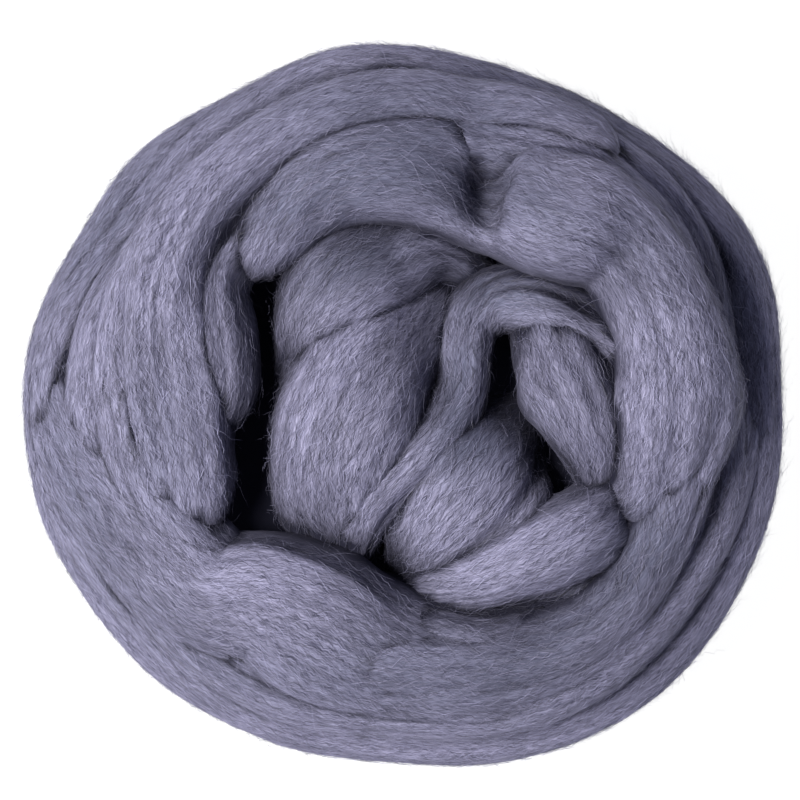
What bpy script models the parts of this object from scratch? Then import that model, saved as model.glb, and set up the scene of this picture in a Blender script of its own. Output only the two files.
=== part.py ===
"""A nest of combed wool roving, wound by hand and lying on its flat spot.

One soft rope of combed fibre is wound round and round into a flattened ball. Its last
turns lie over the top as broad ribbons, and its inner end is folded into the middle.
The nest is one solid. Every lay of the rope is swept along its own path, and the lays
are fused with the packed middle into one closed skin.

Sizes are in millimetres until an object is made, when MM turns them into metres. The
origin is the middle of the flat spot. X runs to the right and Y to the back.
"""

import math

import bmesh
import bpy
import numpy as np

MM = 0.001

# The wound ball.
NEST_HEIGHT = 104.0
GIRTH_HEIGHT = 47.0
BURIED = 5.0  # how far the round underside would reach below the floor

# The radius at the girth for every 15 degrees, counter-clockwise from the right.
OUTLINE_RADII = (
    110.6, 112.2, 111.8, 107.0, 103.5, 102.0, 104.0, 104.0,
    102.2, 105.2, 105.5, 109.0, 110.8, 109.0, 106.0, 105.2,
    105.2, 103.5, 102.5, 105.5, 109.0, 111.3, 111.3, 111.0,
)

# The packed middle that the lays rest on, as a share of the outline and a height.
CORE_PROFILE = (
    (0.02, -2.0),
    (0.45, -2.0),
    (0.72, 8.0),
    (0.87, 25.0),
    (0.91, 42.0),
    (0.88, 56.0),
    (0.80, 68.0),
    (0.66, 72.0),
    (0.56, 67.0),
    (0.46, 60.0),
    (0.34, 58.0),
    (0.24, 62.0),
    (0.02, 64.0),
)
CORE_SIDES = 72

# The winding, one row for each time round, from the underside's middle to the upper edge.
# The latitude is on the ball. Each turn tilts towards a bearing, all in degrees, and
# proud says how far it stands out of the outline.
TURN_COLUMNS = ("latitude", "tilt", "toward", "half_width", "half_thick", "proud")
TURNS = (
    (-84, 0, 100, 13.0, 9, 0.0),
    (-69, 2, 150, 13.0, 9, 0.0),
    (-56, 3, 200, 11.0, 9, 0.0),
    (-44, 4, 240, 10.0, 9, 0.5),
    (-33, 5, 200, 9.5, 9, 0.0),
    (-22, 6, 160, 8.5, 9, 0.8),
    (-11, 6, 120, 7.5, 9, 0.0),
    (0, 7, 150, 7.5, 9, 0.8),
    (11, 7, 200, 7.5, 9, 0.0),
    (22, 7, 240, 8.0, 9, 0.8),
    (33, 6, 200, 9.0, 8, 0.0),
    (43, 5, 160, 9.0, 8, 0.0),
)

# Places where the winding is pressed in, in degrees on the ball and in millimetres.
PRESSED_COLUMNS = ("bearing", "latitude", "half_bearing", "half_latitude", "depth")
PRESSED = (
    (20, 24, 40, 9, 14.0),
    (135, 22, 26, 7, 8.0),
    (-32, 26, 22, 6, 6.0),
    (195, 26, 14, 5, 5.0),
    (250, 14, 30, 5, 3.0),
    (80, 20, 30, 5, 3.5),
)

# Ribbons and folds on the upper face, from the lowest to the last laid. Each row is one
# section of the lay: its middle, its half width and its half thickness.
LAY_COLUMNS = ("x", "y", "z", "half_width", "half_thick")
LAYS = {
    "left_ribbon": (
        (60, 72, 69, 6, 7),
        (42, 80, 73, 7, 8),
        (21, 84, 76, 8, 8),
        (-1, 86, 78, 8, 9),
        (-22, 81, 82, 8, 10),
        (-42, 69, 86, 9, 11),
        (-58, 51, 87, 10, 12),
        (-66, 34, 86, 13, 12),
        (-67, 17, 84, 18, 12),
        (-65, 1, 82, 21, 12),
        (-65, -13, 78, 19, 11),
        (-65, -25, 71, 14, 10),
        (-61, -36, 64, 9, 8),
    ),
    "left_strand": (
        (20, 76, 64, 5, 7),
        (-1, 76, 66, 6, 8),
        (-20, 70, 69, 7, 8),
        (-37, 59, 72, 8, 9),
        (-47, 46, 76, 7, 8),
        (-49, 32, 80, 8, 10),
        (-49, 17, 82, 10, 12),
        (-50, 2, 80, 11, 11),
        (-55, -9, 76, 9, 10),
        (-60, -19, 70, 7, 8),
    ),
    "front_sweep": (
        (-94, 31, 46, 5, 6),
        (-94, 14, 57, 10, 9),
        (-89, -4, 66, 14, 11),
        (-78, -19, 73, 17, 12),
        (-62, -34, 77, 18, 12),
        (-45, -49, 78, 17, 12),
        (-25, -63, 75, 17, 12),
        (1, -73, 71, 16, 12),
        (27, -75, 69, 15, 11),
        (52, -67, 66, 13, 11),
        (73, -52, 63, 11, 10),
        (87, -31, 60, 9, 9),
        (94, -10, 56, 7, 8),
        (96, 6, 50, 5, 6),
    ),
    "front_strand": (
        (-36, -35, 60, 6, 7),
        (-31, -42, 70, 10, 10),
        (-25, -50, 76, 13, 12),
        (-15, -59, 77, 15, 12),
        (1, -66, 74, 15, 11),
        (23, -66, 70, 15, 11),
        (43, -62, 68, 13, 10),
        (62, -53, 65, 10, 10),
        (77, -39, 63, 9, 10),
        (87, -20, 61, 8, 9),
        (91, -2, 58, 6, 8),
    ),
    "lower_lobe": (
        (36, 9, 46, 7, 9),
        (31, -1, 54, 10, 12),
        (24, -12, 64, 15, 14),
        (16, -23, 73, 20, 15),
        (8, -33, 72, 17, 12),
        (2, -40, 64, 11, 9),
        (-2, -45, 56, 7, 7),
    ),
    "middle_lobe": (
        (16, 37, 58, 7, 8),
        (9, 29, 66, 10, 11),
        (0, 19, 74, 14, 14),
        (-9, 7, 78, 20, 17),
        (-16, -5, 79, 22, 17),
        (-19, -15, 77, 19, 15),
        (-20, -24, 73, 16, 12),
        (-19, -31, 67, 14, 9),
        (-18, -37, 60, 11, 7),
        (-17, -41, 53, 8, 6),
    ),
    "small_lobe": (
        (37, 28, 60, 8, 9),
        (42, 19, 68, 11, 11),
        (47, 9, 73, 13, 12),
        (51, -2, 74, 11, 11),
        (53, -12, 71, 8, 9),
        (53, -22, 65, 4, 6),
    ),
    "left_tongue": (
        (-35, 7, 59, 3, 5),
        (-32, 16, 69, 6, 8),
        (-26, 25, 77, 10, 11),
        (-16, 35, 76, 13, 12),
        (-3, 42, 67, 14, 12),
        (10, 45, 60, 12, 10),
        (21, 41, 57, 9, 8),
        (27, 33, 55, 6, 7),
    ),
    "middle_strand": (
        (75, 6, 65, 6, 7),
        (67, 12, 72, 8, 8),
        (59, 20, 77, 9, 9),
        (48, 27, 79, 10, 10),
        (36, 31, 78, 9, 9),
        (26, 30, 76, 8, 8),
        (20, 24, 75, 7, 8),
        (19, 15, 76, 7, 8),
        (18, 5, 80, 7, 8),
        (13, -4, 83, 7, 8),
        (5, -12, 83, 7, 8),
        (-3, -20, 81, 7, 8),
        (-9, -28, 76, 6, 7),
        (-13, -36, 68, 5, 6),
        (-14, -42, 60, 4, 5),
    ),
    "front_loop": (
        (72, -14, 55, 7, 8),
        (64, -23, 66, 9, 9),
        (53, -33, 75, 9, 9),
        (38, -42, 79, 8, 9),
        (22, -48, 77, 7, 8),
        (8, -48, 72, 6, 7),
        (-4, -44, 66, 4, 6),
    ),
    "top_ribbon": (
        (-40, 38, 75, 8, 8),
        (-37, 47, 80, 10, 10),
        (-28, 58, 83, 12, 12),
        (-17, 64, 85, 12, 12),
        (-2, 66, 85, 13, 12),
        (11, 65, 82, 14, 12),
        (23, 61, 77, 15, 11),
        (33, 58, 78, 16, 12),
        (43, 55, 85, 17, 13),
        (53, 52, 86, 17, 14),
        (63, 46, 85, 15, 13),
        (72, 31, 86, 15, 14),
        (77, 16, 86, 16, 14),
        (78, 1, 85, 18, 14),
        (75, -14, 81, 15, 12),
        (67, -28, 74, 12, 11),
        (54, -41, 73, 10, 10),
        (38, -50, 72, 9, 9),
        (21, -54, 69, 6, 7),
    ),
}

# Main creases, soft troughs along the outer face of a lay. Shares run from 0 to 1 along
# the lay, and sides from -1 to 1 across it.
CREASE_COLUMNS = ("lay", "start", "end", "side_at_start", "side_at_end", "depth", "half_width")
CREASES = (
    ("left_ribbon", 0.42, 0.72, 0.45, 0.30, 6.0, 2.6),
    ("left_ribbon", 0.30, 0.95, -0.45, -0.40, 1.6, 1.8),
    ("left_ribbon", 0.50, 1.00, -0.15, -0.05, 1.6, 1.6),
    ("left_ribbon", 0.62, 1.00, 0.45, 0.30, 2.4, 1.6),
    ("left_ribbon", 0.66, 0.98, 0.78, 0.60, 2.4, 1.8),
    ("front_sweep", 0.02, 0.60, 0.20, -0.30, 2.2, 2.8),
    ("front_sweep", 0.25, 0.98, 0.60, 0.35, 2.4, 2.6),
    ("front_strand", 0.15, 0.80, -0.10, 0.20, 1.8, 2.6),
    ("lower_lobe", 0.15, 0.80, -0.55, -0.35, 2.4, 2.6),
    ("middle_lobe", 0.45, 1.00, 0.50, 0.35, 2.2, 2.0),
    ("middle_lobe", 0.30, 0.90, 0.75, 0.65, 2.0, 1.8),
    ("small_lobe", 0.02, 0.55, -0.60, -0.70, 3.0, 1.8),
    ("middle_strand", 0.10, 0.35, 0.10, 0.20, 1.6, 2.0),
    ("top_ribbon", 0.50, 0.80, 0.65, 0.20, 1.8, 3.0),
    ("top_ribbon", 0.62, 0.95, -0.45, 0.10, 2.6, 2.8),
)

# Dents where a ribbon is folded or pressed in, at a place seen from above.
DENT_COLUMNS = ("x", "y", "half_length", "half_width", "bearing", "depth")
DENTS = (
    (22, 57, 17, 9, -80, 8.0),
    (38, -62, 12, 8, 20, 4.0),
    (38, -58, 9, 6, 95, 4.5),
    (58, 37, 12, 9, 60, 4.5),
    (-19, 51, 3, 3, 0, 7.0),
    (-31, 56, 9, 5, 120, 2.0),
)

# The skin.
STATION_STEP = 3.5
SECTION_SIDES = 32
SECTION_SQUARENESS = 2.15
END_LENGTH = 1.3  # of a rounded end, as a multiple of the half thickness
SMALLEST_SECTION = 0.03
UNDERSIDE = 1.7  # how much deeper than its upper side a lay reaches down
SKIN_CELL = 2.0
CLEFT_CLOSED = 0.4
SKIN_SMOOTHING = 2
MOST_FACES = 11400
FLOOR_SLAB = 40.0

# How plain the skin is at each height, so that the folds on top keep more faces.
PLAIN_HEIGHTS = (5.0, 30.0, 65.0)
PLAIN_WEIGHTS = (1.0, 0.5, 0.15)
FLANK_THINNING = 1.0

ROVING_COLOUR = (0.235, 0.228, 0.305, 1.0)
ROVING_ROUGHNESS = 0.92


def outline_radius(bearing):
    """The ball's radius at its girth for each bearing in radians."""
    count = len(OUTLINE_RADII)
    waves = np.fft.rfft(OUTLINE_RADII) / count
    total = np.full(np.shape(bearing), waves[0].real)
    for order in range(1, len(waves)):
        share = 1.0 if 2 * order == count else 2.0
        total = total + share * (waves[order] * np.exp(1j * order * bearing)).real
    return total


def half_height(above_girth):
    """The ball's half height, which differs above and below its girth."""
    return np.where(above_girth, NEST_HEIGHT - GIRTH_HEIGHT, GIRTH_HEIGHT + BURIED)


def on_ball(bearing, latitude, inset):
    """Points that lie inset below the ball's skin, for bearings and latitudes in radians."""
    level = (outline_radius(bearing) - inset) * np.cos(latitude)
    rise = (half_height(latitude > 0) - inset) * np.sin(latitude)
    return np.column_stack([level * np.cos(bearing), level * np.sin(bearing), GIRTH_HEIGHT + rise])


def pressed_depth(bearing, latitude):
    """How far the winding is pressed in at bearings and latitudes in radians."""
    total = np.zeros(np.shape(bearing))
    for row in PRESSED:
        place = dict(zip(PRESSED_COLUMNS, np.radians(row)))
        turn = np.mod(bearing - place["bearing"] + math.pi, 2 * math.pi) - math.pi
        off = (turn / place["half_bearing"]) ** 2
        off += ((latitude - place["latitude"]) / place["half_latitude"]) ** 2
        total += row[PRESSED_COLUMNS.index("depth")] * np.exp(-off)
    return total


def unit(vectors):
    return vectors / np.linalg.norm(vectors, axis=-1, keepdims=True)


def outward(points):
    """The ball's outward direction at each point, which a lay's broad face follows."""
    radius = outline_radius(np.arctan2(points[:, 1], points[:, 0]))
    rise = points[:, 2] - GIRTH_HEIGHT
    height = half_height(rise > 0)
    return unit(
        np.column_stack([points[:, 0] / radius**2, points[:, 1] / radius**2, rise / height**2])
    )


def smooth_rows(rows, along, places):
    """Rows read at places from the smooth curve through the given rows."""
    slopes = np.gradient(rows, along, axis=0)
    first = np.clip(np.searchsorted(along, places, side="right") - 1, 0, len(along) - 2)
    gap = (along[first + 1] - along[first])[:, None]
    t = (places - along[first])[:, None] / gap
    return (
        (2 * t**3 - 3 * t**2 + 1) * rows[first]
        + (t**3 - 2 * t**2 + t) * gap * slopes[first]
        + (3 * t**2 - 2 * t**3) * rows[first + 1]
        + (t**3 - t**2) * gap * slopes[first + 1]
    )


def distance_along(points):
    steps = np.linalg.norm(np.diff(points, axis=0), axis=1)
    return np.concatenate([[0.0], np.cumsum(steps)])


def lay_stations(rows, step):
    """Sections about step apart along a lay of the upper face."""
    rows = np.array(rows, float)
    along = distance_along(rows[:, :3])
    places = np.linspace(0.0, along[-1], math.ceil(along[-1] / step) + 1)
    return smooth_rows(rows, along, places)


def winding_stations(step):
    """Sections about step apart along the winding, from the underside to the upper edge."""
    rows = np.array(TURNS, float)
    turn_numbers = np.arange(len(rows), dtype=float)
    count = math.ceil(2 * math.pi * max(OUTLINE_RADII) * turn_numbers[-1] / step)
    turn = np.linspace(0.0, turn_numbers[-1], count + 1)
    size = dict(zip(TURN_COLUMNS, smooth_rows(rows, turn_numbers, turn).T))
    bearing = 2 * math.pi * turn
    lean = size["tilt"] * np.cos(bearing - np.radians(size["toward"]))
    latitude = np.radians(size["latitude"] + lean)
    inset = size["half_thick"] - size["proud"] + pressed_depth(bearing, latitude)
    middle = on_ball(bearing, latitude, inset)
    return np.column_stack([middle, size["half_width"], size["half_thick"]])


def column(stations, name):
    """One column of a lay's stations, upright, to spread over the sides of its sections."""
    return stations[:, LAY_COLUMNS.index(name)][:, None]


def rounded_ends(stations):
    """The share of its full section that each station keeps, so that the ends are round."""
    along = distance_along(stations[:, :3])[:, None]
    from_end = np.minimum(along, along[-1] - along)
    inside = from_end / (END_LENGTH * column(stations, "half_thick"))
    return np.sqrt(1.0 - (1.0 - np.clip(inside, SMALLEST_SECTION, 1.0)) ** 2)


def crease_depth(name, share, side, half_width):
    """How deep the lay's creases are at each station and each side of the section."""
    total = np.zeros(np.broadcast(share, side).shape)
    for row in CREASES:
        crease = dict(zip(CREASE_COLUMNS, row))
        if crease["lay"] != name:
            continue
        part = np.clip((share - crease["start"]) / (crease["end"] - crease["start"]), 0.0, 1.0)
        middle = crease["side_at_start"] + (crease["side_at_end"] - crease["side_at_start"]) * part
        off = (side - middle) * half_width / crease["half_width"]
        total += crease["depth"] * np.sin(math.pi * part) ** 0.7 * np.exp(-(off**2))
    return total


def dent_depth(points):
    """How far the dents press each point in."""
    total = np.zeros(points.shape[:-1])
    for row in DENTS:
        dent = dict(zip(DENT_COLUMNS, row))
        turn = math.radians(dent["bearing"])
        dx = points[..., 0] - dent["x"]
        dy = points[..., 1] - dent["y"]
        along = (dx * math.cos(turn) + dy * math.sin(turn)) / dent["half_length"]
        across = (dy * math.cos(turn) - dx * math.sin(turn)) / dent["half_width"]
        total += dent["depth"] * np.exp(-(along**2) - across**2)
    return total


def squared(wave):
    """Turns the cosine or sine of a circle into that of a slightly square oval."""
    return np.sign(wave) * np.abs(wave) ** (2.0 / SECTION_SQUARENESS)


def swept_rings(name, stations, sides):
    """One ring of points for each station, square to the path and creased on its face."""
    middle = stations[:, :3]
    travel = unit(np.gradient(middle, axis=0))
    face = outward(middle)
    face = unit(face - (face * travel).sum(1, keepdims=True) * travel)
    edge = np.cross(travel, face)
    round_it = 2 * math.pi * np.arange(sides)[None, :] / sides
    side = squared(np.cos(round_it))
    rise = squared(np.sin(round_it))
    on_face = np.clip(rise, 0.0, 1.0)
    keep = rounded_ends(stations)
    share = np.linspace(0.0, 1.0, len(stations))[:, None]
    half_width = column(stations, "half_width")
    across = half_width * keep * side
    depth = column(stations, "half_thick") * keep * np.where(rise < 0, UNDERSIDE * rise, rise)
    depth -= on_face * crease_depth(name, share, side, half_width)
    rings = middle[:, None, :] + across[..., None] * edge[:, None, :]
    if name in LAYS:
        depth -= on_face * dent_depth(rings)
    return rings + depth[..., None] * face[:, None, :]


def core_rings():
    """The packed middle: rings of the outline, drawn in or out to the profile."""
    bearing = 2 * math.pi * np.arange(CORE_SIDES) / CORE_SIDES
    outline = outline_radius(bearing)[:, None] * np.column_stack([np.cos(bearing), np.sin(bearing)])
    rings = []
    for share, height in CORE_PROFILE:
        level = np.full((CORE_SIDES, 1), height)
        rings.append(np.hstack([share * outline, level]))
    return np.array(rings)


def loft_faces(ring_count, sides, start):
    """Quads between neighbouring rings and a cap at each end."""
    faces = []
    for ring in range(ring_count - 1):
        here = start + ring * sides
        ahead = here + sides
        for side in range(sides):
            beside = (side + 1) % sides
            faces.append((here + side, here + beside, ahead + beside, ahead + side))
    last = start + (ring_count - 1) * sides
    faces.append(tuple(start + side for side in reversed(range(sides))))
    faces.append(tuple(last + side for side in range(sides)))
    return faces


def all_lays():
    """The name and sections of every lay, in the order in which the rope was laid."""
    lays = [("winding", winding_stations(STATION_STEP))]
    for name, rows in LAYS.items():
        lays.append((name, lay_stations(rows, STATION_STEP)))
    return lays


def lofted_lays():
    """Points and faces of every lay and of the packed middle, still overlapping."""
    lofts = [swept_rings(name, stations, SECTION_SIDES) for name, stations in all_lays()]
    lofts.append(core_rings())
    points = []
    faces = []
    start = 0
    for rings in lofts:
        faces += loft_faces(rings.shape[0], rings.shape[1], start)
        points.append(rings.reshape(-1, 3))
        start += rings.shape[0] * rings.shape[1]
    return np.concatenate(points), faces


def clear_scene():
    for old in list(bpy.data.objects):
        bpy.data.objects.remove(old, do_unlink=True)


def new_collection(name):
    made = bpy.data.collections.new(name)
    bpy.context.scene.collection.children.link(made)
    return made


def new_object(name, points, faces, collection):
    mesh = bpy.data.meshes.new(name)
    mesh.from_pydata((points * MM).tolist(), [], faces)
    solid = bmesh.new()
    solid.from_mesh(mesh)
    bmesh.ops.recalc_face_normals(solid, faces=solid.faces)
    solid.to_mesh(mesh)
    solid.free()
    made = bpy.data.objects.new(name, mesh)
    collection.objects.link(made)
    return made


def evaluated_mesh(made):
    """A copy of the object's mesh with its modifiers worked out."""
    graph = bpy.context.evaluated_depsgraph_get()
    return bpy.data.meshes.new_from_object(made.evaluated_get(graph))


def add_skin(made, name):
    skin = made.modifiers.new(name, "REMESH")
    skin.mode = "VOXEL"
    skin.voxel_size = SKIN_CELL * MM


def add_offset(made, name, distance):
    offset = made.modifiers.new(name, "DISPLACE")
    offset.strength = distance * MM
    offset.mid_level = 0.0


def fuse(made):
    """Turns the overlapping lays into one skin and drops any pocket sealed inside it.

    The skin is swollen and drawn back in, which closes the clefts too thin to be seen.
    """
    add_skin(made, "fuse_lays")
    add_offset(made, "swell", CLEFT_CLOSED)
    add_skin(made, "close_clefts")
    add_offset(made, "draw_in", -CLEFT_CLOSED)
    fused = evaluated_mesh(made)
    made.modifiers.clear()
    solid = bmesh.new()
    solid.from_mesh(fused)
    shells = connected_shells(solid)
    outer = max(shells, key=len)
    inner = [vertex for shell in shells if shell is not outer for vertex in shell]
    bmesh.ops.delete(solid, geom=inner, context="VERTS")
    solid.to_mesh(fused)
    solid.free()
    made.data = fused


def connected_shells(solid):
    """The vertices of each separate shell."""
    left = set(solid.verts)
    shells = []
    while left:
        edge_of_search = [left.pop()]
        shell = list(edge_of_search)
        while edge_of_search:
            vertex = edge_of_search.pop()
            for link in vertex.link_edges:
                other = link.other_vert(vertex)
                if other in left:
                    left.remove(other)
                    shell.append(other)
                    edge_of_search.append(other)
        shells.append(shell)
    return shells


def mark_flanks(made):
    """Weights the skin by how plain it is there, so that the folds keep more faces."""
    group = made.vertex_groups.new(name="plain_flanks")
    for vertex in made.data.vertices:
        height = vertex.co.z / MM
        plain = np.interp(height, PLAIN_HEIGHTS, PLAIN_WEIGHTS)
        group.add([vertex.index], float(plain), "REPLACE")
    return group.name


def refine(made, floor):
    """Smooths the skin, thins its faces and cuts the flat spot."""
    soft = made.modifiers.new("soften", "SMOOTH")
    soft.factor = 0.5
    soft.iterations = SKIN_SMOOTHING
    thin = made.modifiers.new("thin_faces", "DECIMATE")
    thin.ratio = MOST_FACES / (2 * len(made.data.polygons))
    thin.vertex_group = mark_flanks(made)
    thin.vertex_group_factor = FLANK_THINNING
    cut = made.modifiers.new("flat_spot", "BOOLEAN")
    cut.operation = "DIFFERENCE"
    cut.solver = "EXACT"
    cut.object = floor


def floor_slab(collection):
    """The block whose top face is the floor."""
    bpy.ops.mesh.primitive_cube_add(size=1.0)
    slab = bpy.context.object
    slab.name = "floor_slab"
    slab.dimensions = (3 * NEST_HEIGHT * MM, 3 * NEST_HEIGHT * MM, FLOOR_SLAB * MM)
    slab.location = (0.0, 0.0, -0.5 * FLOOR_SLAB * MM)
    for owner in list(slab.users_collection):
        owner.objects.unlink(slab)
    collection.objects.link(slab)
    slab.hide_render = True
    slab.display_type = "WIRE"
    return slab


def wool(name):
    made = bpy.data.materials.new(name)
    made.use_nodes = True
    shader = made.node_tree.nodes["Principled BSDF"]
    shader.inputs["Base Color"].default_value = ROVING_COLOUR
    shader.inputs["Roughness"].default_value = ROVING_ROUGHNESS
    return made


def main():
    clear_scene()
    parts = new_collection("wool_roving")
    cutters = new_collection("cutters")
    points, faces = lofted_lays()
    nest = new_object("roving_nest", points, faces, parts)
    fuse(nest)
    nest.data.materials.clear()
    nest.data.materials.append(wool("combed_wool"))
    refine(nest, floor_slab(cutters))


main()
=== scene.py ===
"""The looks of a nest of combed wool roving: its lays, their fibres and a plain studio.

Every lay of the wound rope is swept along its path and split into soft bundles. Loose
fibres are combed over the lays along the same paths, and stray ones stand off them.
Sizes are in millimetres until a mesh is made, when MM turns them into metres.
"""

import math

import bpy
import numpy as np
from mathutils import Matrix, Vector
from mathutils.bvhtree import BVHTree


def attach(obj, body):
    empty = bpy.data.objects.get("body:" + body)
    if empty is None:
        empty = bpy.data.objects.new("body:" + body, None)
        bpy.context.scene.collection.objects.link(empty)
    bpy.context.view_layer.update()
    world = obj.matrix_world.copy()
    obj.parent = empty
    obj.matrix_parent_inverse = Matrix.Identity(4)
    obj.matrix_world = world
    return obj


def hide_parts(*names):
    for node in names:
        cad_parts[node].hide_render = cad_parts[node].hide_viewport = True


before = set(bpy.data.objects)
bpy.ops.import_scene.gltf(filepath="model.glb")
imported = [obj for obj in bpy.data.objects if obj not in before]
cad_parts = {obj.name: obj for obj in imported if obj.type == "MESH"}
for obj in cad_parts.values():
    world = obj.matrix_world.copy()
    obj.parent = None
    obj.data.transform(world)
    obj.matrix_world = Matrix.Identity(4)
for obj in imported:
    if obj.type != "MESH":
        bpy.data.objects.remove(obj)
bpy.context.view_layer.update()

MM = 0.001
TINY = 1e-9  # keeps a division from meeting zero
NODE = "roving_nest"
SEED = 4021

# The wound ball.
NEST_HEIGHT = 104.0
GIRTH_HEIGHT = 47.0
BURIED = 5.0  # how far the round underside would reach below the floor
FLOOR_CLEARANCE = 0.15

# The radius at the girth for every 15 degrees, counter-clockwise from the right.
OUTLINE_RADII = (
    110.6, 112.2, 111.8, 107.0, 103.5, 102.0, 104.0, 104.0,
    102.2, 105.2, 105.5, 109.0, 110.8, 109.0, 106.0, 105.2,
    105.2, 103.5, 102.5, 105.5, 109.0, 111.3, 111.3, 111.0,
)

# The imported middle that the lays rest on, as a share of the outline and a height.
CORE_PROFILE = (
    (0.02, 1.0),
    (0.35, 1.0),
    (0.72, 9.0),
    (0.87, 25.0),
    (0.91, 42.0),
    (0.88, 56.0),
    (0.80, 68.0),
    (0.66, 72.0),
    (0.56, 67.0),
    (0.46, 60.0),
    (0.34, 58.0),
    (0.24, 62.0),
    (0.02, 64.0),
)
CORE_SIDES = 144

# The winding, one row for each time round, from the underside's middle to the upper edge.
# The latitude is on the ball. Each turn tilts towards a bearing, all in degrees, and
# proud says how far it stands out of the outline.
TURN_COLUMNS = ("latitude", "tilt", "toward", "half_width", "half_thick", "proud")
TURNS = (
    (-84, 0, 100, 13.0, 9, 0.0),
    (-69, 2, 150, 13.0, 9, 0.0),
    (-56, 3, 200, 11.0, 9, 0.0),
    (-44, 4, 240, 10.0, 9, 0.5),
    (-33, 5, 200, 9.5, 9, 0.0),
    (-22, 6, 160, 8.5, 9, 0.8),
    (-11, 6, 120, 7.5, 9, 0.0),
    (0, 7, 150, 7.5, 9, 0.8),
    (11, 7, 200, 7.5, 9, 0.0),
    (22, 7, 240, 8.0, 9, 0.8),
    (33, 6, 200, 9.0, 8, 0.0),
    (43, 5, 160, 9.0, 8, 0.0),
)

# Places where the winding is pressed in, in degrees on the ball and in millimetres.
PRESSED_COLUMNS = ("bearing", "latitude", "half_bearing", "half_latitude", "depth")
PRESSED = (
    (10, 24, 27, 9, 15.0),
    (135, 22, 26, 7, 8.0),
    (-32, 26, 22, 6, 6.0),
    (195, 26, 14, 5, 5.0),
    (250, 14, 30, 5, 3.0),
    (236, 42, 28, 10, 6.0),
    (80, 20, 30, 5, 3.5),
)

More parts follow.
